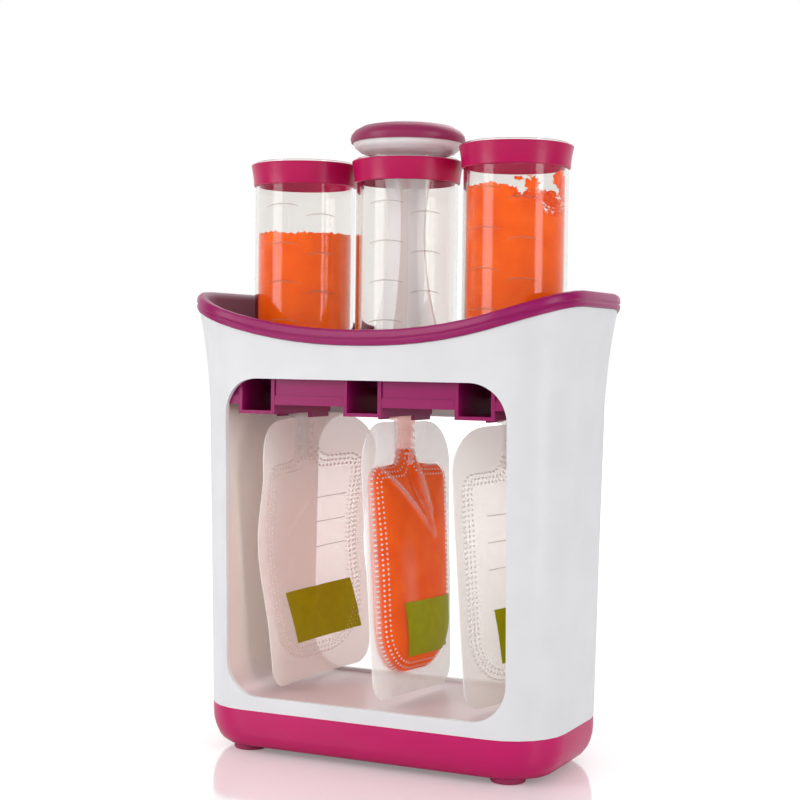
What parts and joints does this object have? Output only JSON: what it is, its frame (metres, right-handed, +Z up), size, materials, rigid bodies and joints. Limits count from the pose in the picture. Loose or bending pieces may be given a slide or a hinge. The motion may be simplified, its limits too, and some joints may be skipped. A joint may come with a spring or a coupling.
{
  "type": "food pouch filling station",
  "caption": "Table-top station that fills squeeze pouches: clear volume tubes with a hand press stand over an open bay where pouches hang by their spouts.",
  "frame": {"origin": "on the table, under the middle of the body", "axes": "+Z up, +X along the row of tubes to the picture's right, -Y out of the front window"},
  "size_m": [0.1942, 0.1056, 0.2965],
  "materials": {
    "magenta": "satin moulded plastic",
    "plum": "satin moulded plastic",
    "shell_white": "satin moulded plastic",
    "foot_rubber": "matte",
    "screw_steel": "zinc plated",
    "seal_rubber": "matte silicone",
    "clear_plastic": "clear moulded plastic",
    "frosted_plastic": "translucent moulded plastic",
    "puree": "wet, lumpy",
    "pouch_film": "translucent film",
    "filled_pouch": "translucent film over puree"
  },
  "bodies": {
    "station": {"base_tray": "magenta", "rubber_feet": "foot_rubber", "base_screws": "screw_steel", "body_shell": "shell_white", "bay_liner": "shell_white", "top_rim": "plum", "filling_deck": "plum", "deck_fascia": "plum", "socket_left": "plum", "socket_middle": "plum", "socket_right": "plum", "channel_left": "plum", "channel_middle": "plum", "channel_right": "plum", "tube_gaskets": "seal_rubber", "spout_seals": "seal_rubber"},
    "left_tube": {"tube_left": "clear_plastic", "collar_left": "magenta", "puree_left": "puree"},
    "middle_tube": {"tube_middle": "clear_plastic", "collar_middle": "magenta"},
    "right_tube": {"tube_right": "clear_plastic", "collar_right": "magenta", "puree_right": "puree"},
    "press": {"press_cap": "plum", "press_cup": "frosted_plastic", "press_stem": "frosted_plastic", "press_piston": "frosted_plastic", "piston_seal": "seal_rubber"},
    "left_pouch": {"pouch_left": "pouch_film", "spout_left": "frosted_plastic"},
    "middle_pouch": {"pouch_middle": "filled_pouch", "spout_middle": "frosted_plastic"},
    "right_pouch": {"pouch_right": "pouch_film", "spout_right": "frosted_plastic"}
  },
  "joints": [
    {"name": "left_tube_lift", "type": "slide", "parent": "station", "child": "left_tube", "axis": [0, 0, 1], "range_m": [0, 0.06]},
    {"name": "middle_tube_lift", "type": "slide", "parent": "station", "child": "middle_tube", "axis": [0, 0, 1], "range_m": [0, 0.06]},
    {"name": "right_tube_lift", "type": "slide", "parent": "station", "child": "right_tube", "axis": [0, 0, 1], "range_m": [-0.0051, 0.06]},
    {"name": "press_stroke", "type": "slide", "parent": "middle_tube", "child": "press", "axis": [0, 0, 1], "range_m": [0, 0.105]},
    {"name": "left_pouch_swivel", "type": "hinge", "parent": "station", "child": "left_pouch", "pos_m": [-0.0548, 0, 0.16], "axis": [0, 0, 1], "range_deg": [-4, 20]},
    {"name": "middle_pouch_swivel", "type": "hinge", "parent": "station", "child": "middle_pouch", "pos_m": [0, 0, 0.16], "axis": [0, 0, 1], "continuous": true},
    {"name": "right_pouch_swivel", "type": "hinge", "parent": "station", "child": "right_pouch", "pos_m": [0.0548, 0, 0.16], "axis": [0, 0, 1], "range_deg": [-2, 36]}
  ]
}
